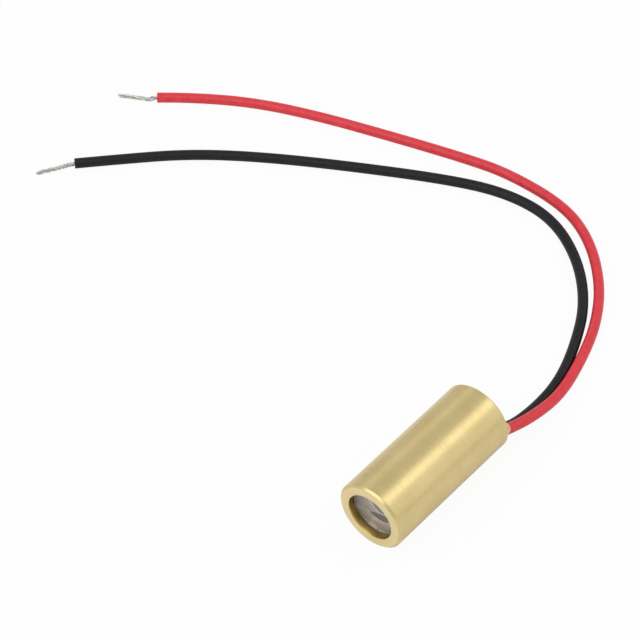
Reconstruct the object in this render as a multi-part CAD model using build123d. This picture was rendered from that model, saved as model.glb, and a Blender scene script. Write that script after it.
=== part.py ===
from build123d import *
from math import atan2, cos, pi, radians, sin, sqrt, tan
import os

# A brass-barrelled line laser module with two bare-ended flying leads, lying on its side.
# Millimetres. The optical axis is the Y axis, the beam leaves towards -Y, +Z is up,
# and the origin is the centre of the front face.

# Barrel: one turned brass piece. What it holds keeps its share of the width and the length,
# so the inside follows when these two change
body_diameter = 9.0
body_length = 20.0
front_wall = body_diameter / 9
rear_wall = body_diameter / 18
lip_height = body_diameter / 18
lip_depth = body_length * 0.05
front_chamfer = 0.28
rear_chamfer = 0.2
aperture_break = 0.08

# Clearances
slip_gap = 0.05
bond_gap = 0.02
solder_gap = 0.01

# Line lens: a clear moulded disc with one roof-shaped ridge on its front
lens_thickness = body_length * 0.06
ridge_width = 4.0
ridge_height = 0.33
ridge_crown_radius = 0.6
ridge_edge_gap = 0.12
ridge_roll = 13.0
ridge_offset = 0.38

# Collimator in its cell
cell_length = body_length * 0.2
cell_rim = body_diameter / 18
cell_recess_depth = 0.5
stop_diameter = body_diameter * 0.411
stop_length = 1.1
collimator_diameter = body_diameter * 0.511
collimator_edge = 0.9
collimator_front_sag = 0.55
collimator_rear_sag = 0.2
cell_notch_width = 0.7
cell_notch_depth = 0.5

# Focus spring. Its wire is drawn with flats, which keeps its helix light
spring_length = body_length * 0.11
spring_wire = 0.36
spring_room = 0.56
spring_turns = 3.0
spring_wire_sides = 10

# Diode holder and the diode in it, whose can keeps its proportions
holder_length = body_length * 0.12
stem_diameter = body_diameter * 0.622
stem_thickness = body_length * 0.06
stem_notch_width = 0.4
stem_notch_depth = 0.3
cap_diameter = stem_diameter * 0.634
cap_height = body_length * 0.115
cap_wall = 0.15
cap_flange_diameter = stem_diameter * 0.768
cap_flange_thickness = 0.2
cap_hole_diameter = stem_diameter * 0.214
window_diameter = stem_diameter * 0.43
window_thickness = 0.25
post_width = stem_diameter * 0.25
post_depth = stem_diameter * 0.134
post_length = body_length * 0.07
submount_size = 0.8
submount_thickness = 0.25
chip_width = 0.25
chip_length = 0.4
chip_thickness = 0.12
photodiode_size = 0.7
photodiode_thickness = 0.2
pin_diameter = 0.45
pin_circle_radius = 1.0
pin_length = body_length * 0.14
bond_post_length = 0.45
seal_diameter = 0.9

# Driver board and what is soldered to it
board_gap = body_length * 0.03
board_side_gap = 0.92
part_gap = 0.1
transistor_width = 2.9
transistor_length = body_length * 0.065
transistor_height = 0.95
transistor_draft = 0.12
leg_width = 0.4
leg_reach = body_length * 0.025
leg_thickness = 0.13
leg_pitch = 1.9
chip_part_length = body_length * 0.08
chip_part_width = 0.8
resistor_height = 0.45
capacitor_height = 0.75
terminal_length = 0.3
solder_width = 1.0
solder_length = 1.3
solder_height = 0.62
solder_round = 0.24

# Glue that closes the back
glue_start_gap = body_length * 0.04
glue_length = body_length * 0.09
glue_edge_recess = 0.15
glue_dome_height = 0.75
glue_collar_reach = 1.75
glue_collar_foot = 1.75
glue_collar_lip = 0.95

# Leads: insulation, and the tinned strands inside it
lead_diameter = 1.3
strand_diameter = 0.5
stub_straight = 0.4
stub_length = 1.9
lead_start_gap = 0.3
exit_reach = 1.2

# Worked out from the sizes above, from the front to the back
body_radius = body_diameter / 2
floor_height = -body_radius
front_bore_radius = body_radius - front_wall
rear_bore_radius = body_radius - rear_wall
aperture_radius = front_bore_radius - lip_height
lens_back = lip_depth + lens_thickness
cell_back = lens_back + cell_length
holder_front = cell_back + spring_length
holder_back = holder_front + holder_length
stem_front = holder_back - stem_thickness
cap_front = stem_front - cap_height
post_front = stem_front - post_length
post_top = -chip_thickness / 2 - submount_thickness
board_front = holder_back + board_gap
chip_parts_front = holder_back + pin_length + part_gap
transistor_front = chip_parts_front + chip_part_length + part_gap
board_top = -pin_diameter / 2
board_bottom = pin_diameter / 2 - pin_circle_radius
board_width = 2 * (sqrt(rear_bore_radius ** 2 - board_bottom ** 2) - board_side_gap)
glue_front = body_length - glue_length
board_back = glue_front - glue_start_gap
strand_height = board_bottom - strand_diameter / 2 - solder_gap
lead_rest = floor_height + lead_diameter / 2

# Where each lead starts behind the board, and where it is just outside the glue: x from the
# rear bore's wall, and height from the optical axis
red_exit = [(-2.05, -1.15), (-0.92, -1.82)]
black_exit = [(-3.45, -1.35), (-2.28, -2.35)]

# Each lead's centre line from there to the cut end of its insulation: x from the rear bore's
# wall, how far behind the barrel's back face, and how far above where it rests on the surface
red_route = [
    (-0.48, 5.2, 0.8), (-0.15, 9.9, 0.78), (-0.88, 15.1, 0.33), (-3.8, 23, 0),
    (-7.4, 28.8, 0), (-12.9, 34, 0), (-19, 36.8, 0), (-28, 36.8, 0), (-34.4, 35.2, 0),
    (-44, 32.2, 0), (-53, 29.2, 0), (-61, 25.8, 0), (-68, 21.2, 0), (-71.5, 18.2, 0),
]
black_route = [
    (-1.75, 5.2, 0.3), (-1.38, 11.4, 0), (-3.4, 18.3, 0), (-7, 25.1, 0), (-12.2, 30.5, 0),
    (-18.7, 34, 0), (-25.3, 34, 0), (-32.4, 31.4, 0), (-45.5, 24, 0), (-55, 18, 0),
    (-61.7, 12.8, 0), (-67.5, 6.7, 0), (-71.4, 2.4, 0),
]
# The bare tips go on from there, and sag on to the surface
red_tip = [(-72.15, 17.62, -0.08), (-73.8, 16.85, -0.33), (-75.9, 15.4, -0.39)]
black_tip = [(-72.2, 1.6, -0.1), (-73.2, 0, -0.33), (-74.3, -1.8, -0.39)]


def turned(outline):
    """Spin an outline of (radius, depth) points round the optical axis."""
    return revolve(make_face(Polyline(*outline, close=True)), axis=Axis.Y)


def disc(radius, front, back):
    return turned([(0, front), (radius, front), (radius, back), (0, back)])


def block(width, front, back, bottom, top, x=0):
    size = Box(width, back - front, top - bottom)
    return Pos(x, (front + back) / 2, (bottom + top) / 2) * size


def along_y(radius, x, z, front, back):
    return Pos(x, 0, z) * disc(radius, front, back)


def housing():
    return turned([
        (aperture_radius + aperture_break, 0),
        (body_radius - front_chamfer, 0),
        (body_radius, front_chamfer),
        (body_radius, body_length - rear_chamfer),
        (body_radius - rear_chamfer, body_length),
        (rear_bore_radius, body_length),
        (rear_bore_radius, holder_front),
        (front_bore_radius, holder_front),
        (front_bore_radius, lip_depth),
        (aperture_radius, lip_depth),
        (aperture_radius, aperture_break),
    ])


def line_lens():
    """The ridge's two flats bend the beam both ways, so that a spot leaves as a line."""
    plate = disc(front_bore_radius - bond_gap, lip_depth, lens_back)
    across = Vector(-sin(radians(ridge_roll)), 0, cos(radians(ridge_roll)))
    along = Vector(cos(radians(ridge_roll)), 0, sin(radians(ridge_roll)))
    section = Plane(origin=(0, lip_depth, 0), x_dir=across, z_dir=along)
    roof = make_face(Polyline(
        (ridge_offset - ridge_width / 2, 0),
        (ridge_offset + ridge_width / 2, 0),
        (ridge_offset, ridge_height),
        close=True,
    ))
    crown = roof.vertices().sort_by(Axis.Y)[-1]
    roof = section * fillet(crown, ridge_crown_radius)
    ridge = extrude(roof, amount=body_radius, both=True)
    mouth = disc(aperture_radius - ridge_edge_gap, 0, lens_back)
    return plate + (ridge & mouth)


def lens_cell():
    outer = front_bore_radius - slip_gap
    recess = outer - cell_rim
    stop = stop_diameter / 2
    pocket = collimator_diameter / 2 + bond_gap
    recess_floor = lens_back + cell_recess_depth
    shelf = recess_floor + stop_length
    cell = turned([
        (recess, lens_back),
        (outer, lens_back),
        (outer, cell_back),
        (pocket, cell_back),
        (pocket, shelf),
        (stop, shelf),
        (stop, recess_floor),
        (recess, recess_floor),
    ])
    notch = block(2 * outer + 1, cell_back - cell_notch_depth, cell_back + 1,
                  -cell_notch_width / 2, cell_notch_width / 2)
    return cell - notch


def cap_arc(edge_radius, edge, apex):
    """Half of a dome's outline, from its edge up to its top on the optical axis."""
    rise = apex - edge
    centre = apex - (edge_radius ** 2 + rise ** 2) / (2 * rise)
    half_angle = atan2(edge_radius, edge - centre if rise > 0 else centre - edge) / 2
    reach = apex - centre
    middle = (abs(reach) * sin(half_angle), centre + reach * cos(half_angle))
    return ThreePointArc((edge_radius, edge), middle, (0, apex))


def collimator_lens():
    """A biconvex lens whose rim sits on the shelf behind the stop."""
    rim = collimator_diameter / 2
    face = stop_diameter / 2 - bond_gap
    front = lens_back + cell_recess_depth + stop_length
    back = front + collimator_edge
    outline = [
        cap_arc(face, front, front - collimator_front_sag),
        Line((0, front - collimator_front_sag), (0, back + collimator_rear_sag)),
        cap_arc(face, back, back + collimator_rear_sag),
        Polyline((face, back), (rim, back), (rim, front), (face, front)),
    ]
    return revolve(make_face(outline), axis=Axis.Y)


def focus_spring():
    height = spring_length - spring_wire - 2 * solder_gap
    start = cell_back + spring_wire / 2 + solder_gap
    coil = Helix(
        pitch=height / spring_turns,
        height=height,
        radius=cap_diameter / 2 + spring_room + spring_wire / 2,
        center=(0, start, 0),
        direction=(0, 1, 0),
    )
    section = RegularPolygon(spring_wire / 2, spring_wire_sides)
    wire = Plane(origin=coil @ 0, z_dir=coil % 0) * section
    return sweep(wire, path=coil, is_frenet=True)


def diode_holder():
    outer = rear_bore_radius - bond_gap
    cap_room = cap_diameter / 2 + slip_gap * 2
    flange_room = cap_flange_diameter / 2 + slip_gap
    stem_room = stem_diameter / 2 + bond_gap
    relief = stem_front - cap_flange_thickness - slip_gap
    return turned([
        (cap_room, holder_front),
        (outer, holder_front),
        (outer, holder_back),
        (stem_room, holder_back),
        (stem_room, stem_front),
        (flange_room, stem_front),
        (flange_room, relief),
        (cap_room, relief),
    ])


def sealed_pin_places():
    return [(-pin_circle_radius, 0), (pin_circle_radius, 0)]


def diode_stem():
    """The base of the diode can: a stamped disc with a post that carries the chip."""
    stem = disc(stem_diameter / 2, stem_front, holder_back)
    for x, z in sealed_pin_places():
        stem -= along_y(seal_diameter / 2, x, z, stem_front - 1, holder_back + 1)
    for side in (-1, 1):
        edge = side * stem_diameter / 2
        stem -= block(2 * stem_notch_depth, stem_front - 1, holder_back + 1,
                      -stem_notch_width / 2, stem_notch_width / 2, edge)
    post = block(post_width, post_front, stem_front, post_top - post_depth, post_top)
    return stem + post


def diode_cap():
    outer = cap_diameter / 2
    inner = outer - cap_wall
    return turned([
        (cap_hole_diameter / 2, cap_front),
        (outer, cap_front),
        (outer, stem_front - cap_flange_thickness),
        (cap_flange_diameter / 2, stem_front - cap_flange_thickness),
        (cap_flange_diameter / 2, stem_front),
        (inner, stem_front),
        (inner, cap_front + cap_wall),
        (cap_hole_diameter / 2, cap_front + cap_wall),
    ])


def diode_window():
    front = cap_front + cap_wall
    return disc(window_diameter / 2, front, front + window_thickness)


def chip_submount():
    return block(submount_size, post_front, post_front + submount_size,
                 post_top, post_top + submount_thickness)


def laser_chip():
    return block(chip_width, post_front, post_front + chip_length,
                 -chip_thickness / 2, chip_thickness / 2)


def monitor_photodiode():
    bottom = post_top + photodiode_thickness
    return block(photodiode_size, stem_front - photodiode_thickness, stem_front,
                 bottom, bottom + photodiode_size)


def diode_pins():
    back = holder_back + pin_length
    pins = [along_y(pin_diameter / 2, x, z, stem_front - bond_post_length, back)
            for x, z in sealed_pin_places()]
    ground = along_y(pin_diameter / 2, 0, -pin_circle_radius, holder_back, back)
    return pins + [ground]


def pin_glass_seals():
    seals = []
    for x, z in sealed_pin_places():
        bead = along_y(seal_diameter / 2, x, z, stem_front, holder_back)
        seals.append(bead - along_y(pin_diameter / 2, x, z, stem_front - 1, holder_back + 1))
    return seals


def circuit_board():
    return block(board_width, board_front, board_back, board_bottom, board_top)


def driver_transistor():
    base = board_top + leg_thickness
    body = block(transistor_width, transistor_front, transistor_front + transistor_length,
                 base, base + transistor_height)
    return chamfer(body.faces().sort_by(Axis.Z)[-1].edges(), transistor_draft)


def transistor_legs():
    """Two legs on one side and one on the other, each bent down to the board."""
    legs = []
    half = transistor_length / 2
    knee = board_top + transistor_height / 2
    for x, side in ((-leg_pitch / 2, -1), (leg_pitch / 2, -1), (0, 1)):
        profile = Polyline(
            (half, knee),
            (half + leg_reach / 2, knee),
            (half + leg_reach / 2, board_top + leg_thickness),
            (half + leg_reach, board_top + leg_thickness),
            (half + leg_reach, board_top),
            (half + leg_reach / 2 - leg_thickness, board_top),
            (half + leg_reach / 2 - leg_thickness, knee - leg_thickness),
            (half, knee - leg_thickness),
            close=True,
        )
        leg = extrude(Plane.YZ * make_face(profile), amount=leg_width / 2, both=True)
        if side < 0:
            leg = mirror(leg, about=Plane.XZ)
        legs.append(Pos(x, transistor_front + half, 0) * leg)
    return legs


def chip_part_places():
    """Middle x and height of the three chip parts, in a row across the board's top."""
    pitch = board_width / 3
    return {
        "first resistor": (-pitch, resistor_height),
        "second resistor": (pitch, resistor_height),
        "capacitor": (0, capacitor_height),
    }


def chip_part(name):
    x, height = chip_part_places()[name]
    front = chip_parts_front + terminal_length
    back = chip_parts_front + chip_part_length - terminal_length
    return block(chip_part_width, front, back, board_top, board_top + height, x)


def resistors():
    return [chip_part("first resistor"), chip_part("second resistor")]


def capacitor():
    return chip_part("capacitor")


def component_terminals():
    ends = []
    starts = (chip_parts_front, chip_parts_front + chip_part_length - terminal_length)
    for x, height in chip_part_places().values():
        for start in starts:
            ends.append(block(chip_part_width, start, start + terminal_length,
                              board_top, board_top + height, x))
    return ends


def in_place(route):
    return [(rear_bore_radius + x, body_length + behind, lead_rest + rise)
            for x, behind, rise in route]


def centre_line(exit, route):
    (inner_x, inner_z), (outer_x, outer_z) = exit
    start = (rear_bore_radius + inner_x, board_back + lead_start_gap, inner_z)
    outside = (rear_bore_radius + outer_x, body_length + exit_reach, outer_z)
    return [start, outside] + in_place(route)


def red_line():
    return centre_line(red_exit, red_route)


def black_line():
    return centre_line(black_exit, black_route)


def corner_radii(points):
    """As large an arc at each corner as its two runs allow."""
    radii = []
    for a, b, c in zip(points, points[1:], points[2:]):
        before = Vector(*b) - Vector(*a)
        after = Vector(*c) - Vector(*b)
        shorter = min(before.length, after.length)
        radii.append(0.45 * shorter / tan(radians(before.get_angle(after) / 2)))
    return radii


def tube(points, diameter):
    path = FilletPolyline(*points, radius=corner_radii(points))
    section = Plane(origin=path @ 0, z_dir=path % 0) * Circle(diameter / 2)
    return sweep(section, path=path), path


def lead(name, points):
    solid, path = tube(points, lead_diameter)
    expected = path.length * pi * lead_diameter ** 2 / 4
    print(name, "length", round(path.length, 2), "volume", round(solid.volume, 3),
          "of", round(expected, 3))
    print(name, "radii", [round(r, 1) for r in corner_radii(points)])
    return solid


def bare_tip(line, tip):
    """The strands go straight on from the insulation for a moment, then follow the tip's route."""
    end = Vector(*line[-1])
    heading = (end - Vector(*line[-2])).normalized()
    points = [end, end + heading * stub_straight] + [Vector(*p) for p in in_place(tip)]
    return tube([tuple(p) for p in points], strand_diameter)[0]


def stub_points(line):
    """From the lead's inner end to the board's underside, and forward along it."""
    start = Vector(*line[0])
    heading = (start - Vector(*line[1])).normalized()
    knee = start + heading * stub_straight
    landing = Vector(knee.X + heading.X * stub_straight, knee.Y - stub_straight * 1.5, strand_height)
    pad = Vector(landing.X, landing.Y - stub_length + stub_straight, strand_height)
    return [tuple(p) for p in (start, knee, landing, pad)]


def soldered_strands():
    return [tube(stub_points(line), strand_diameter)[0] for line in (red_line(), black_line())]


def loaf(x, middle, surface, upward):
    """A mound of solder on one face of the board."""
    bottom = surface if upward else surface - solder_height
    mound = block(solder_width, middle - solder_length / 2, middle + solder_length / 2,
                  bottom, bottom + solder_height, x)
    outer = mound.faces().sort_by(Axis.Z)[-1 if upward else 0]
    flat = mound.faces().sort_by(Axis.Z)[0 if upward else -1]
    sides = [e for e in mound.edges() if e not in flat.edges()]
    return fillet(sides, solder_round)


def solder_joints():
    mounds = []
    pin_hole = pin_diameter / 2 + solder_gap
    strand_hole = strand_diameter / 2 + solder_gap
    back = holder_back + pin_length
    middle = back - solder_length / 2
    for x, z in sealed_pin_places():
        mound = loaf(x, middle, board_top, True)
        mounds.append(mound - along_y(pin_hole, x, z, holder_back, back))
    ground = loaf(0, middle, board_bottom, False)
    mounds.append(ground - along_y(pin_hole, 0, -pin_circle_radius, holder_back, back))
    for line in (red_line(), black_line()):
        x, front, z = stub_points(line)[-1]
        mound = loaf(x, front + solder_length / 2 - solder_round, board_bottom, False)
        mounds.append(mound - along_y(strand_hole, x, z, front, front + 2 * solder_length))
    return mounds


def collar(line):
    """Glue that has crept a short way along a lead, thinning to a lip."""
    start = Vector(*line[0])
    heading = (Vector(*line[1]) - start).normalized()
    foot = start + heading * ((body_length - glue_edge_recess - start.Y) / heading.Y)
    base = Plane(origin=foot, z_dir=heading)
    tip = Plane(origin=foot + heading * (glue_edge_recess + glue_collar_reach), z_dir=heading)
    return loft([base * Circle(glue_collar_foot), tip * Circle(glue_collar_lip)])


def rear_potting():
    wall = rear_bore_radius - bond_gap
    edge = body_length - glue_edge_recess
    top = edge + glue_dome_height
    outline = [
        cap_arc(wall, edge, top),
        Polyline((0, top), (0, glue_front), (wall, glue_front), (wall, edge)),
    ]
    plug = revolve(make_face(outline), axis=Axis.Y)
    mouth = disc(wall, glue_front, body_length + 2 * glue_collar_reach)
    for line in (red_line(), black_line()):
        plug += collar(line) & mouth
    for line in (red_line(), black_line()):
        plug -= tube(line[:4], lead_diameter + 2 * bond_gap)[0]
    return plug


def write(name, shape):
    if isinstance(shape, list):
        shape = Compound(children=shape)
    export_step(shape, f"parts/{name}.step")


os.makedirs("parts", exist_ok=True)
write("housing", housing())
write("line_lens", line_lens())
write("lens_cell", lens_cell())
write("collimator_lens", collimator_lens())
write("focus_spring", focus_spring())
write("diode_holder", diode_holder())
write("diode_stem", diode_stem())
write("diode_cap", diode_cap())
write("diode_window", diode_window())
write("chip_submount", chip_submount())
write("laser_chip", laser_chip())
write("monitor_photodiode", monitor_photodiode())
write("diode_pins", diode_pins())
write("pin_glass_seals", pin_glass_seals())
write("circuit_board", circuit_board())
write("driver_transistor", driver_transistor())
write("transistor_legs", transistor_legs())
write("resistors", resistors())
write("capacitor", capacitor())
write("component_terminals", component_terminals())
write("solder_joints", solder_joints())
write("soldered_strands", soldered_strands())
write("rear_potting", rear_potting())
write("red_lead", lead("red_lead", red_line()))
write("black_lead", lead("black_lead", black_line()))
write("red_lead_end", bare_tip(red_line(), red_tip))
write("black_lead_end", bare_tip(black_line(), black_tip))
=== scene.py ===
import bmesh
import bpy
from math import cos, pi, radians, sin
from mathutils import Matrix, Vector


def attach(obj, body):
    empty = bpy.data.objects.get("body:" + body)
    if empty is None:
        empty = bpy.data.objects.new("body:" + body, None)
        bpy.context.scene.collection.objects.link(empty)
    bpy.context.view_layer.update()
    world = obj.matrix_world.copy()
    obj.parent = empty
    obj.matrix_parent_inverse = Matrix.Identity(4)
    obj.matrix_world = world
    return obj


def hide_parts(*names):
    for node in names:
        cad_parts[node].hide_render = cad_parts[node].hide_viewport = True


# A brass line laser module lying on its side on a pale table, its two leads laid out behind it.
# Metres. The barrel lies along Y, its beam leaves towards -Y, and +Z is up.
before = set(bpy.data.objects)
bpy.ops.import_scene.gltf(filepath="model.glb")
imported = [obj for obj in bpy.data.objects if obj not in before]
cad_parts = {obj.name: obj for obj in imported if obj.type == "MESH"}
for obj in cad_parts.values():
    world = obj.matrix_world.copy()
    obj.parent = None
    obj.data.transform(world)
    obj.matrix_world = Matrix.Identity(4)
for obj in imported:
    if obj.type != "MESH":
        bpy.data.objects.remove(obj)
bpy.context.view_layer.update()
MM = 0.001
X, Y = 0, 1


def span(node, axis):
    """The lowest and the highest coordinate of a CAD piece along an axis."""
    places = [v.co[axis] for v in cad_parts[node].data.vertices]
    return min(places), max(places)


# Barrel and the table under it

BODY_RADIUS = span("housing", X)[1]
BODY_LENGTH = span("housing", Y)[1]
HOLDER_FRONT = span("diode_holder", Y)[0]
FLOOR = -BODY_RADIUS
FRONT_BORE_RADIUS = BODY_RADIUS - 1 * MM
REAR_BORE_RADIUS = BODY_RADIUS - 0.5 * MM
LIP_RADIUS = FRONT_BORE_RADIUS - 0.5 * MM
LIP_DEPTH = 1 * MM
MOUTH_RADIUS = LIP_RADIUS + 0.12 * MM
MOUTH_DEPTH = 0.5 * MM
FRONT_CHAMFER = 0.28 * MM
REAR_CHAMFER = 0.2 * MM
RIM_BREAK = 0.035 * MM

# Line lens, and the cell behind it

LENS_FRONT = LIP_DEPTH
LENS_BACK = span("line_lens", Y)[1]
AIR = 0.02 * MM
# Painted shade: near the axis and behind this depth, the lens cell is painted near-black for the
# dark deep behind the lens
PAINTED_SHADE_RADIUS = 2.5 * MM
PAINTED_SHADE_FROM = span("lens_cell", Y)[0] + 0.53 * MM

# Leads and their bare ends

LEAD_SHOWN = 1.33 * MM
LEAD_REST = FLOOR + LEAD_SHOWN / 2
STRAND_DIAMETER = 0.26 * MM
STRAND_SPREAD = 0.6 * STRAND_DIAMETER
STRANDS = 3

# Glue: over the back, in a bead round each lead at x and z, and thin over the red one

GLUE_BACK = BODY_LENGTH + 1 * MM
BEAD_RADIUS = 1.3 * MM
BEAD_FLATNESS = 0.62
BEAD_PLACES = [(2.51 * MM, -1.57 * MM), (1.39 * MM, -2.27 * MM)]
RED_SLEEVE = 1.7 * MM
BLACK_SLEEVE = 1.4 * MM
THIN_GLUE_FROM = 2.05 * MM


# Objects, and where the camera and the lamps look

def new_object(name, data):
    """An object with this data, in the scene."""
    made = bpy.data.objects.new(name, data)
    bpy.context.collection.objects.link(made)
    return made


def from_bmesh(name, mesh):
    """A finished bmesh as an object at the origin."""
    data = bpy.data.meshes.new(name)
    mesh.to_mesh(data)
    mesh.free()
    return new_object(name, data)


def aimed(place, away, along):
    """The place and turn of a camera or a lamp that looks against the direction away, with its
    width along another."""
    back = Vector(away).normalized()
    side = (Vector(along) - back * back.dot(along)).normalized()
    turn = Matrix((side, back.cross(side), back)).transposed()
    return Matrix.Translation(place) @ turn.to_4x4()


# Camera, at the place and angle of the photographer's

CAMERA_PLACE = Vector((136.34, -169.91, 274.91)) * MM
CAMERA_AWAY = (0.4326, -0.5114, 0.7425)
CAMERA_RIGHT = (0.7635, 0.6458, 0)
FOCAL_LENGTH = 173.2


def aim_camera():
    data = bpy.data.cameras.new("camera")
    data.lens = FOCAL_LENGTH
    data.sensor_width = 36
    data.clip_start = 0.005
    data.clip_end = 20
    camera = new_object("camera", data)
    camera.matrix_world = aimed(CAMERA_PLACE, CAMERA_AWAY, CAMERA_RIGHT)
    bpy.context.scene.camera = camera
    bpy.context.scene.view_settings.view_transform = "Standard"


# Leads: x and y in millimetres, and how far each point is above where a lead lies on the table

RED_ROUTE = [
    (1.95, 17.7, 2.7), (2.99, 21.56, 1.95), (3.75, 25.88, 1.17), (3.84, 30.99, 0.53),
    (2.42, 36.8, 0.23), (0.2, 43, 0), (-3.4, 48.8, 0), (-8.9, 54, 0), (-15, 56.78, 0),
    (-24, 56.78, 0), (-30.4, 55.2, 0), (-40, 52.2, 0), (-49, 49.2, 0), (-57, 45.8, 0),
    (-64, 41.2, 0), (-67.5, 38.2, 0),
]
BLACK_ROUTE = [
    (0.55, 17.7, 2.5), (2.17, 22, 0.76), (2.6, 26.89, 0.03), (2.32, 32.7, 0),
    (0.21, 38.82, 0), (-3, 45.1, 0), (-8.2, 50.5, 0), (-14.7, 54, 0), (-21.3, 54, 0),
    (-28.4, 51.4, 0), (-41.5, 44, 0), (-51, 38, 0), (-57.7, 32.8, 0), (-63.5, 26.7, 0),
    (-67.4, 22.4, 0),
]
RED_TIP = [
    (-67.88, 37.78, -0.12), (-68.29, 37.54, -0.3), (-68.77, 37.2, -0.35), (-69.75, 36.82, -0.36),
    (-70.71, 36.22, -0.36), (-71.88, 35.43, -0.36),
]
BLACK_TIP = [(-68.1, 21.34, -0.12), (-69.08, 19.94, -0.3), (-70.18, 18.19, -0.36)]


def placed(route):
    return [Vector((x * MM, y * MM, LEAD_REST + rise * MM)) for x, y, rise in route]


def smooth_curve(name, points, bevel=0.0):
    """A curve of one open NURBS spline with these control points."""
    data = bpy.data.curves.new(name, "CURVE")
    data.dimensions = "3D"
    data.resolution_u = 16
    data.bevel_depth = bevel
    data.bevel_resolution = 10
    data.use_fill_caps = True
    spline = data.splines.new("NURBS")
    spline.points.add(len(points) - 1)
    for place, point in zip(spline.points, points):
        place.co = (*point, 1)
    spline.order_u = 3
    spline.use_endpoint_u = True
    return new_object(name, data)


def points_along(points):
    """Points read from the smooth line through a route."""
    line = smooth_curve("guide", points)
    mesh = bpy.data.meshes.new_from_object(line)
    found = [v.co.copy() for v in mesh.vertices]
    bpy.data.meshes.remove(mesh)
    bpy.data.objects.remove(line)
    return found


def bare_strands(name, route, tip, turns, parting):
    """Three tinned bundles laid round each other, from inside the insulation's end to the tip,
    each a little shorter than the last. They part a little where the tip has been bent."""
    line = placed(route)
    heading = (line[-1] - line[-2]).normalized()
    inside = line[-1] - heading * 0.8 * MM
    outside = line[-1] + heading * 0.1 * MM
    path = points_along([inside, outside] + placed(tip))
    bend, bend_reach = 0.3, 0.12
    data = bpy.data.curves.new(name, "CURVE")
    data.dimensions = "3D"
    data.bevel_depth = STRAND_DIAMETER / 2
    data.bevel_resolution = 3
    data.use_fill_caps = True
    data.resolution_u = 1
    for strand in range(STRANDS):
        shown = path[:len(path) - strand]
        spline = data.splines.new("POLY")
        spline.points.add(len(shown) - 1)
        for i, here in enumerate(shown):
            share = i / len(path)
            along = (path[min(i + 1, len(path) - 1)] - path[max(i - 1, 0)]).normalized()
            side = along.cross(Vector((0, 0, 1))).normalized()
            angle = strand * 2 * pi / STRANDS + turns * 2 * pi * share
            apart = 1 + parting * max(0, 1 - abs(share - bend) / bend_reach)
            offset = side * cos(angle) * apart + along.cross(side) * sin(angle)
            spline.points[i].co = (*(here + offset * STRAND_SPREAD), 1)
    bundle = new_object(name + "_line", data)
    mesh = bpy.data.meshes.new_from_object(bundle)
    bpy.data.objects.remove(bundle)
    mesh.name = name
    mesh.shade_smooth()
    return new_object(name, mesh)


# Materials

def srgb(code):
    """A written sRGB colour as the linear one that shaders take."""
    parts = [int(code[i:i + 2], 16) / 255 for i in (1, 3, 5)]
    return [c / 12.92 if c <= 0.04045 else ((c + 0.055) / 1.055) ** 2.4 for c in parts] + [1]


def grey(value):
    return (value, value, value, 1)


def per_mm(count):
    """A texture scale that repeats this many times in a millimetre."""
    return count / MM


def add(tree, kind, inputs=None, stops=(), **settings):
    """One node, with its settings, the two stops of its colour ramp where it has one, and its
    inputs from values or from other nodes' outputs."""
    node = tree.nodes.new("ShaderNode" + kind)
    for name, value in settings.items():
        setattr(node, name, value)
    for i, (position, colour) in enumerate(stops):
        node.color_ramp.elements[i].position = position
        node.color_ramp.elements[i].color = colour
    for socket, value in (inputs or {}).items():
        if isinstance(value, bpy.types.NodeSocket):
            tree.links.new(value, node.inputs[socket])
        else:
            node.inputs[socket].default_value = value
    return node


def blank_material(name):
    material = bpy.data.materials.new(name)
    material.use_nodes = True
    material.node_tree.nodes.clear()
    return material, material.node_tree


def surface(name, inputs):
    """A material with one Principled shader, and the tree for what goes into it."""
    material, tree = blank_material(name)
    shader = add(tree, "BsdfPrincipled", inputs)
    add(tree, "OutputMaterial", {"Surface": shader.outputs[0]})
    return material, tree, shader


def wire_up(tree, shader, links):
    for socket, output in links.items():
        tree.links.new(output, shader.inputs[socket])


def about_axis(tree, place):
    """How far along the barrel's axis a place is, and how far from the axis."""
    xyz = add(tree, "SeparateXYZ", {"Vector": place})
    flat = add(tree, "CombineXYZ", {"X": xyz.outputs["X"], "Z": xyz.outputs["Z"]})
    radius = add(tree, "VectorMath", {0: flat.outputs[0]}, operation="LENGTH")
    return xyz.outputs["Y"], radius.outputs["Value"]


def lathe_brass(name, dark, light, roughness, across):
    """Free-cutting brass, cut on a lathe: satin, with fine rings round the barrel's axis.
    The real rings are 0.05 mm apart, too fine to show, so these are about 0.15 mm apart.
    They are spaced along the barrel, or across a faced end."""
    material, tree, shader = surface(name, {
        "Metallic": 1.0, "Roughness": roughness, "Anisotropic": 0.35})
    place = add(tree, "TexCoord").outputs["Object"]
    depth, radius = about_axis(tree, place)
    rings = add(tree, "TexNoise", {
        "W": radius if across else depth, "Scale": per_mm(5), "Detail": 3, "Roughness": 0.6},
        noise_dimensions="1D").outputs["Fac"]
    around = add(tree, "VectorMath", {0: place, 1: (1, 9, 1)}, operation="MULTIPLY").outputs[0]
    smears = add(tree, "TexNoise", {
        "Vector": around, "Scale": per_mm(0.3), "Detail": 5, "Roughness": 0.6}).outputs["Fac"]
    clouds = add(tree, "TexNoise", {
        "Vector": place, "Scale": per_mm(0.25), "Detail": 2}).outputs["Fac"]
    mixed = add(tree, "MixRGB", {"Fac": 0.3, "Color1": clouds, "Color2": rings}).outputs[0]
    colour = add(tree, "ValToRGB", {"Fac": mixed},
                 [(0.38, srgb(dark)), (0.62, srgb(light))]).outputs["Color"]
    rough = add(tree, "ValToRGB", {"Fac": smears},
                [(0.3, grey(roughness * 0.88)), (0.7, grey(roughness * 1.16))]).outputs["Color"]
    bump = add(tree, "Bump", {"Strength": 0.1, "Distance": 0.01 * MM, "Height": rings})
    tangent = add(tree, "Tangent", direction_type="RADIAL", axis="Y")
    wire_up(tree, shader, {"Base Color": colour, "Roughness": rough,
                           "Normal": bump.outputs[0], "Tangent": tangent.outputs[0]})
    return material


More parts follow.
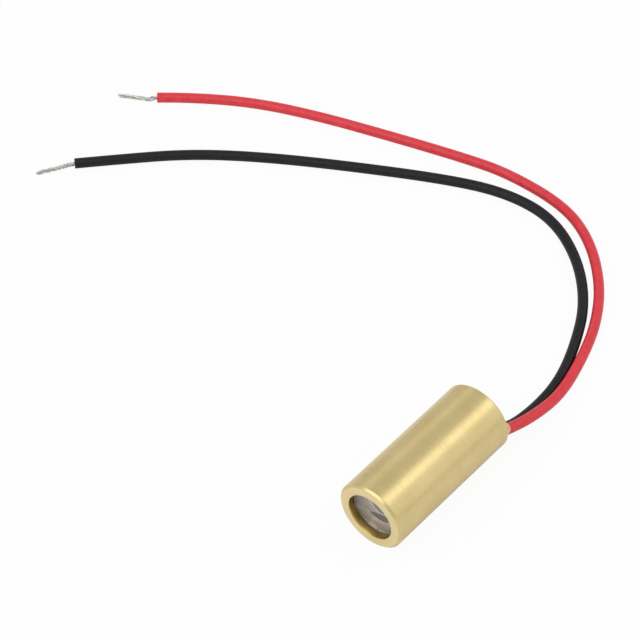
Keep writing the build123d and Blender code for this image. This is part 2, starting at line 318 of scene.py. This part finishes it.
def pvc(name, base, light, roughness, ior):
    """Extruded soft PVC insulation: satin, with a slight mottle in its colour and a fine grain."""
    material, tree, shader = surface(name, {
        "Roughness": roughness, "IOR": ior, "Subsurface Weight": 0.04, "Specular IOR Level": 0.4,
        "Subsurface Radius": (0.4 * MM, 0.2 * MM, 0.1 * MM), "Subsurface Scale": 1.0})
    place = add(tree, "TexCoord").outputs["Object"]
    mottle = add(tree, "TexNoise", {
        "Vector": place, "Scale": per_mm(1.2), "Detail": 4}).outputs["Fac"]
    grain = add(tree, "TexNoise", {
        "Vector": place, "Scale": per_mm(9), "Detail": 2}).outputs["Fac"]
    colour = add(tree, "ValToRGB", {"Fac": mottle},
                 [(0.3, srgb(base)), (0.7, srgb(light))]).outputs["Color"]
    bump = add(tree, "Bump", {"Strength": 0.12, "Distance": 0.01 * MM, "Height": grain})
    wire_up(tree, shader, {"Base Color": colour, "Normal": bump.outputs[0]})
    return material


def cloud_and_grain(tree, light, dark, grain, bumpiness):
    """A colour with a faint cloud in it, a fine grain, and the relief that the grain gives."""
    place = add(tree, "TexCoord").outputs["Object"]
    cloud = add(tree, "TexNoise", {
        "Vector": place, "Scale": per_mm(grain / 4), "Detail": 3}).outputs["Fac"]
    fine = add(tree, "TexNoise", {
        "Vector": place, "Scale": per_mm(grain), "Detail": 3}).outputs["Fac"]
    colour = add(tree, "ValToRGB", {"Fac": cloud},
                 [(0.35, srgb(dark)), (0.65, srgb(light))]).outputs["Color"]
    bump = add(tree, "Bump", {"Strength": bumpiness, "Distance": 0.01 * MM, "Height": fine})
    return colour, fine, bump.outputs[0]


def plain_metal(name, light, dark, roughness, grain, bumpiness=0.1):
    """Metal that is a little duller in places, as wire, plating and solder are."""
    material, tree, shader = surface(name, {"Metallic": 1.0, "Roughness": roughness})
    colour, fine, relief = cloud_and_grain(tree, light, dark, grain, bumpiness)
    rough = add(tree, "ValToRGB", {"Fac": fine},
                [(0.3, grey(roughness * 0.8)), (0.7, grey(roughness * 1.25))]).outputs["Color"]
    wire_up(tree, shader, {"Base Color": colour, "Roughness": rough, "Normal": relief})
    return material


def plain_solid(name, light, dark, roughness, grain):
    """Plastic, ceramic or glass frit, evenly dull or glossy."""
    material, tree, shader = surface(name, {"Roughness": roughness, "IOR": 1.5})
    colour, _, relief = cloud_and_grain(tree, light, dark, grain, 0.1)
    wire_up(tree, shader, {"Base Color": colour, "Normal": relief})
    return material


def moulded_nylon():
    """White nylon, moulded: satin and faintly mottled. Its bore is painted near-black as painted
    shade, so that through the front lens it is a dark round hole in a pale part."""
    material, tree, shader = surface("moulded_white_nylon", {"Roughness": 0.45, "IOR": 1.53})
    place = add(tree, "TexCoord").outputs["Object"]
    depth, radius = about_axis(tree, place)
    # Painted shade: the cell near the axis and behind a given depth is painted near-black
    # (#141312)
    near_axis = add(tree, "Math", {0: radius, 1: PAINTED_SHADE_RADIUS},
                    operation="LESS_THAN").outputs[0]
    behind = add(tree, "Math", {0: depth, 1: PAINTED_SHADE_FROM},
                 operation="GREATER_THAN").outputs[0]
    painted_shade = add(tree, "Math", {0: near_axis, 1: behind}, operation="MULTIPLY").outputs[0]
    cloud = add(tree, "TexNoise", {
        "Vector": place, "Scale": per_mm(1), "Detail": 3}).outputs["Fac"]
    pale = add(tree, "ValToRGB", {"Fac": cloud},
               [(0.35, srgb("#EBE3E0")), (0.65, srgb("#F3EBE8"))]).outputs["Color"]
    colour = add(tree, "MixRGB", {"Fac": painted_shade, "Color1": pale, "Color2": srgb("#141312")})
    bump = add(tree, "Bump", {"Strength": 0.1, "Distance": 0.01 * MM, "Height": cloud})
    wire_up(tree, shader, {"Base Color": colour.outputs[0], "Normal": bump.outputs[0]})
    return material


def clear_solid(name, tint, roughness, ior):
    """Clear moulded or ground optics, with a surface ripple far below a tenth of a millimetre."""
    material, tree, shader = surface(name, {
        "Roughness": roughness, "IOR": ior, "Transmission Weight": 1.0, "Base Color": srgb(tint)})
    place = add(tree, "TexCoord").outputs["Object"]
    ripple = add(tree, "TexNoise", {
        "Vector": place, "Scale": per_mm(0.8), "Detail": 1}).outputs["Fac"]
    bump = add(tree, "Bump", {"Strength": 0.04, "Distance": 0.02 * MM, "Height": ripple})
    wire_up(tree, shader, {"Normal": bump.outputs[0]})
    return material


def potting_glue(name, dark, light):
    """Clear-setting hot glue: milky and translucent, with a soft gloss and slow waves."""
    material, tree, shader = surface(name, {
        "Roughness": 0.35, "IOR": 1.45, "Transmission Weight": 0.08,
        "Subsurface Weight": 0.7, "Subsurface Radius": (0.9 * MM, 0.7 * MM, 0.55 * MM),
        "Subsurface Scale": 1.0})
    place = add(tree, "TexCoord").outputs["Object"]
    cloud = add(tree, "TexNoise", {
        "Vector": place, "Scale": per_mm(0.6), "Detail": 3}).outputs["Fac"]
    colour = add(tree, "ValToRGB", {"Fac": cloud},
                 [(0.35, srgb(dark)), (0.65, srgb(light))]).outputs["Color"]
    bump = add(tree, "Bump", {"Strength": 0.3, "Distance": 0.05 * MM, "Height": cloud})
    wire_up(tree, shader, {"Base Color": colour, "Normal": bump.outputs[0]})
    return material


def dress(node, material):
    """A CAD piece whose shape is right gets its material."""
    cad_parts[node].data.materials[0] = material


# Pieces

SAME_PLACE = 1e-7
CAD_SAME_PLACE = 1e-6


def cad_mesh(node):
    """A CAD piece's own mesh, joined up where its faces meet."""
    mesh = bmesh.new()
    mesh.from_mesh(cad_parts[node].data)
    bmesh.ops.remove_doubles(mesh, verts=mesh.verts, dist=CAD_SAME_PLACE)
    return mesh


def even_shading(piece, keep_sharp=False):
    """Large faces keep their own slope where they meet small ones."""
    even = piece.modifiers.new("even_shading", "WEIGHTED_NORMAL")
    even.weight = 100
    even.keep_sharp = keep_sharp


def spun(mesh, outline, centre, axis, steps):
    """A closed outline spun once round an axis, joined where it closes."""
    corners = [mesh.verts.new(place) for place in outline]
    edges = [mesh.edges.new(pair) for pair in zip(corners, corners[1:] + corners[:1])]
    bmesh.ops.spin(mesh, geom=corners + edges, cent=centre, axis=axis, angle=2 * pi,
                   steps=steps, use_merge=True, use_duplicate=False)


def smoothed(name, mesh):
    """A bmesh of spun shapes as an object, smooth, with even shading."""
    for face in mesh.faces:
        face.smooth = True
    piece = from_bmesh(name, mesh)
    even_shading(piece)
    return piece


def turned_barrel():
    """The brass barrel: its half outline spun round the axis, and every rim broken. Its mouth
    flares a little, and its bore widens where the diode's holder sits."""
    outline = [
        (MOUTH_RADIUS, 0), (BODY_RADIUS - FRONT_CHAMFER, 0), (BODY_RADIUS, FRONT_CHAMFER),
        (BODY_RADIUS, BODY_LENGTH - REAR_CHAMFER), (BODY_RADIUS - REAR_CHAMFER, BODY_LENGTH),
        (REAR_BORE_RADIUS, BODY_LENGTH), (REAR_BORE_RADIUS, HOLDER_FRONT),
        (FRONT_BORE_RADIUS, HOLDER_FRONT), (FRONT_BORE_RADIUS, LIP_DEPTH),
        (LIP_RADIUS, LIP_DEPTH), (LIP_RADIUS, MOUTH_DEPTH),
    ]
    mesh = bmesh.new()
    spun(mesh, [(radius, y, 0) for radius, y in outline], (0, 0, 0), (0, 1, 0), steps=160)
    bmesh.ops.remove_doubles(mesh, verts=mesh.verts, dist=SAME_PLACE)
    bmesh.ops.recalc_face_normals(mesh, faces=mesh.faces)
    rims = [e for e in mesh.edges if e.calc_face_angle() > radians(20)]
    bmesh.ops.bevel(mesh, geom=rims, offset=RIM_BREAK, affect="EDGES", segments=3,
                    profile=0.5, material=-1)
    return smoothed("barrel", mesh)


def brass_of(face):
    """Which brass a face of the barrel shows: 0 turned, 1 faced off at the front, 2 the bore,
    darker with painted shade.
    """
    if face.center.y < 0.01 * MM and face.normal.y < -0.95:
        return 1
    radius = Vector((face.center.x, face.center.z)).length
    return 2 if face.center.y < LIP_DEPTH + 0.05 * MM and radius < MOUTH_RADIUS else 0


def seated_lens():
    """The line lens, a hair thinner than its place, because a clear part that touches its
    neighbours without any air between them would look black there. Its edges of more than
    8 degrees, such as the feet of the ridge, stay sharp."""
    near = 0.01 * MM
    mesh = cad_mesh("line_lens")
    front = [v for v in mesh.verts if abs(v.co.y - LENS_FRONT) < near]
    back = [v for v in mesh.verts if abs(v.co.y - LENS_BACK) < near]
    bmesh.ops.translate(mesh, verts=front, vec=(0, AIR, 0))
    bmesh.ops.translate(mesh, verts=back, vec=(0, -AIR, 0))
    bmesh.ops.recalc_face_normals(mesh, faces=mesh.faces)
    piece = from_bmesh("front_lens", mesh)
    piece.data.shade_smooth()
    piece.data.set_sharp_from_angle(angle=radians(8))
    even_shading(piece, keep_sharp=True)
    return piece


def cut_and_close(mesh, geometry, y, **side):
    """Geometry cut off at a plane across the barrel's axis, and the cut filled."""
    bmesh.ops.bisect_plane(mesh, geom=geometry, plane_co=(0, y, 0), plane_no=(0, 1, 0), **side)
    bmesh.ops.holes_fill(mesh, edges=[e for e in mesh.edges if e.is_boundary], sides=0)


def glue_plug():
    """The glue over the back, as it set: the CAD plug, cut shorter along the leads, with a bead
    round each of them on the rim, and all its edges flowed together."""
    just_off_rim = BODY_LENGTH + 0.02 * MM
    mesh = cad_mesh("rear_potting")
    cut_and_close(mesh, mesh.verts[:] + mesh.edges[:] + mesh.faces[:], GLUE_BACK,
                  clear_outer=True)
    for x, z in BEAD_PLACES:
        flat = Matrix.Translation((x, BODY_LENGTH, z)) @ Matrix.Diagonal((1, BEAD_FLATNESS, 1, 1))
        ball = bmesh.ops.create_uvsphere(mesh, u_segments=32, v_segments=16, radius=BEAD_RADIUS,
                                         matrix=flat)["verts"]
        edges = {e for v in ball for e in v.link_edges}
        faces = {f for v in ball for f in v.link_faces}
        cut_and_close(mesh, ball + list(edges) + list(faces), just_off_rim, clear_inner=True)
    bmesh.ops.recalc_face_normals(mesh, faces=mesh.faces)
    piece = from_bmesh("glue", mesh)
    flow = piece.modifiers.new("flow", "REMESH")
    flow.mode = "VOXEL"
    flow.voxel_size = 0.12 * MM
    flow.use_smooth_shade = True
    even = piece.modifiers.new("even", "SMOOTH")
    even.factor = 0.5
    even.iterations = 3
    return piece


def glue_sleeves():
    """Glue drawn up along each lead by the lead's own surface, thinning to a lip. The profile
    is each point's distance from the lead's middle in millimetres, and its share of the reach."""
    profile = [
        (0.42, 0), (1.2, 0), (1.12, 0.25), (0.98, 0.45), (0.88, 0.65), (0.82, 0.85),
        (0.75, 0.96), (0.66, 1.01), (0.42, 1.05),
    ]
    mesh = bmesh.new()
    for line, reach in ((red_line, RED_SLEEVE), (black_line, BLACK_SLEEVE)):
        path = [p for p in points_along(line) if BODY_LENGTH < p.y < BODY_LENGTH + reach]
        heading = ((path[-1] - path[0]).normalized() + Vector((0, 1, 0))).normalized()
        side = heading.orthogonal().normalized()
        outline = [path[0] + side * r * MM + heading * share * reach for r, share in profile]
        spun(mesh, outline, path[0], heading, steps=48)
    bmesh.ops.remove_doubles(mesh, verts=mesh.verts, dist=SAME_PLACE)
    bmesh.ops.recalc_face_normals(mesh, faces=mesh.faces)
    return smoothed("glue_sleeves", mesh)


# Studio: a white table, pale surroundings, and five soft lights. What the barrel's side shows of
# the room is a bright band above it, a fainter one beside that, and the table below

LAMP_DISTANCE = 0.9


def studio_floor():
    """A white table. The camera sees it almost evenly white, as a bright photo does, and what
    mirrors or bends the light sees a little of that white in it."""
    to_camera, to_mirrors = 0.94, 0.15
    mesh = bmesh.new()
    bmesh.ops.create_grid(mesh, x_segments=1, y_segments=1, size=1.5)
    bmesh.ops.translate(mesh, verts=mesh.verts, vec=(0, 0, FLOOR))
    floor = from_bmesh("table", mesh)
    material, tree = blank_material("table")
    matt = add(tree, "BsdfDiffuse", {"Color": grey(0.86)})
    glow = add(tree, "Emission", {"Color": grey(1), "Strength": 1.0})
    path = add(tree, "LightPath")
    mirrored = add(tree, "Math", {0: path.outputs["Is Glossy Ray"],
                                  1: path.outputs["Is Transmission Ray"]}, operation="MAXIMUM")
    part = add(tree, "Math", {0: mirrored.outputs[0], 1: to_mirrors}, operation="MULTIPLY")
    whole = add(tree, "Math", {0: path.outputs["Is Camera Ray"], 1: to_camera},
                operation="MULTIPLY")
    share = add(tree, "Math", {0: part.outputs[0], 1: whole.outputs[0]}, operation="MAXIMUM")
    both = add(tree, "MixShader", {"Fac": share.outputs[0], 1: matt.outputs[0],
                                   2: glow.outputs[0]})
    add(tree, "OutputMaterial", {"Surface": both.outputs[0]})
    floor.data.materials.append(material)


def surroundings(level):
    """A pale room that lights the part at this level, and that the camera sees as white."""
    world = bpy.data.worlds.new("studio")
    bpy.context.scene.world = world
    world.use_nodes = True
    tree = world.node_tree
    tree.nodes.clear()
    path = add(tree, "LightPath")
    strength = add(tree, "Mix", {"Factor": path.outputs["Is Camera Ray"], "A": level, "B": 1.0})
    back = add(tree, "Background", {"Color": grey(1), "Strength": strength.outputs["Result"]})
    add(tree, "OutputWorld", {"Surface": back.outputs[0]})


def softbox(name, direction, along, width, height, radiance):
    """A rectangular soft light that faces the barrel, its width along a direction."""
    data = bpy.data.lights.new(name, "AREA")
    data.shape = "RECTANGLE"
    data.size = width
    data.size_y = height
    data.energy = radiance * pi * width * height
    light = new_object(name, data)
    place = Vector(direction).normalized() * LAMP_DISTANCE
    light.matrix_world = aimed(place, direction, along)
    light.visible_camera = False


# The scene, piece by piece

aim_camera()
red_line, black_line = placed(RED_ROUTE), placed(BLACK_ROUTE)
red = smooth_curve("red_insulation", red_line, LEAD_SHOWN / 2)
black = smooth_curve("black_insulation", black_line, LEAD_SHOWN / 2)
red_tip = bare_strands("red_strands", RED_ROUTE, RED_TIP, turns=0.9, parting=1.2)
black_tip = bare_strands("black_strands", BLACK_ROUTE, BLACK_TIP, turns=3.2, parting=0)

# The barrel's side is turned fine and bright, its front is faced paler and duller, and its bore
# is painted darker and browner, as painted shade inside the mouth
brass = lathe_brass("turned_brass", "#DBC58A", "#E1CD95", 0.27, across=False)
faced_brass = lathe_brass("faced_brass", "#EFDBA4", "#F6E5B2", 0.36, across=True)
# The bore's colours are darker and browner than the side's: painted shade for the recess behind
# the mouth
bore_brass_painted_shade = lathe_brass("bore_brass_painted_shade", "#BA9F5E", "#C8AD6B", 0.3, across=False)
red_pvc = pvc("red_pvc", "#DA2B37", "#E13C46", 0.36, 1.53)
black_pvc = pvc("black_pvc", "#08080A", "#17171C", 0.44, 1.42)
tinned = plain_metal("tinned_copper", "#DAD8D2", "#B8B5AD", 0.26, 8, bumpiness=0.2)
set_glue = potting_glue("set_glue", "#FBD5B8", "#FFDFC7")
thin_glue = potting_glue("thin_glue", "#FFBE96", "#FFCBA6")
acrylic = clear_solid("moulded_acrylic", "#FEFEFE", 0.02, 1.49)

barrel = turned_barrel()
for material in (brass, faced_brass, bore_brass_painted_shade):
    barrel.data.materials.append(material)
for face in barrel.data.polygons:
    face.material_index = brass_of(face)
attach(barrel, "root")
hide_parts("housing")

glue = glue_plug()
glue.data.materials.append(set_glue)
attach(glue, "root")
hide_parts("rear_potting")

sleeves = glue_sleeves()
for material in (set_glue, thin_glue):
    sleeves.data.materials.append(material)
for face in sleeves.data.polygons:
    face.material_index = 1 if face.center.x > THIN_GLUE_FROM else 0
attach(sleeves, "root")

for piece, tip, material, node, slot in (
        (red, red_tip, red_pvc, "red_lead", "red_pvc"),
        (black, black_tip, black_pvc, "black_lead", "black_pvc")):
    piece.data.materials.append(material)
    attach(piece, "root")
    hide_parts(node)
    tip.data.materials.append(tinned)
    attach(tip, "root")
    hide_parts(node + "_end")

lens = seated_lens()
lens.data.materials.append(acrylic)
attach(lens, "root")
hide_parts("line_lens")

# The pieces whose CAD shape is right. Drawn wire and plating are bright, the solder, the seals
# and the cleaved chip nearly mirrors, the ceramics and the moulded epoxy matt, the board satin
dress("collimator_lens", acrylic)
dress("lens_cell", moulded_nylon())
dress("focus_spring", plain_metal("drawn_spring_steel", "#B9B8B4", "#9A9995", 0.28, 10))
dress("diode_holder", brass)
dress("diode_stem", plain_metal("gold_plate_on_steel", "#E8C66A", "#D9B04E", 0.25, 6))
dress("diode_pins", plain_metal("gold_plate_on_wire", "#E8C66A", "#D9B04E", 0.25, 6))
dress("diode_cap", plain_metal("nickel_plate_on_steel", "#C9C4BA", "#B7B2A8", 0.22, 6))
dress("diode_window", clear_solid("window_glass", "#F4F8F5", 0.0, 1.52))
dress("chip_submount", plain_solid("sintered_alumina", "#E9E6DC", "#DAD6C9", 0.6, 12))
dress("laser_chip", plain_metal("cleaved_semiconductor", "#5A5A60", "#4A4A50", 0.15, 10))
dress("monitor_photodiode", plain_metal("polished_silicon", "#4A4E63", "#3C4054", 0.12, 10))
dress("pin_glass_seals", plain_solid("fused_sealing_glass", "#3B5A4A", "#2E4A3D", 0.15, 5))
dress("circuit_board", plain_solid("solder_masked_laminate", "#1F6B3A", "#18582F", 0.3, 6))
dress("driver_transistor", plain_solid("moulded_epoxy", "#232323", "#1A1A1A", 0.55, 12))
tin = plain_metal("matt_tin_plate", "#C4C4C2", "#AAAAA8", 0.35, 10)
dress("transistor_legs", tin)
dress("component_terminals", tin)
dress("solder_joints", plain_metal("flowed_solder", "#CBCBC8", "#B5B5B2", 0.18, 3))
dress("soldered_strands", tinned)
dress("resistors", plain_solid("overglazed_ceramic", "#1E1D1C", "#151414", 0.3, 8))
dress("capacitor", plain_solid("fired_capacitor_ceramic", "#B89A78", "#A88A68", 0.45, 8))

# Each light: the way to it, the way its width runs, its width and height, and its radiance
studio_floor()
surroundings(level=0.69)
softbox("key", (0.322, 0.511, 0.797), (-0.927, 0, 0.375), 0.36, 0.65, 0.66)
softbox("side", (0.658, 0.511, 0.553), (-0.643, 0, 0.766), 0.88, 0.6, 0.26)
softbox("left", (-0.67, 0.511, 0.54), (-0.669, 0, -0.743), 0.3, 0.6, 0.18)
softbox("front", (-0.25, -0.8, 0.55), (1, 0, 0), 0.85, 0.6, 0.9)
softbox("top", (-0.1, -0.35, 0.93), (1, 0, 0), 0.6, 0.6, 1.1)
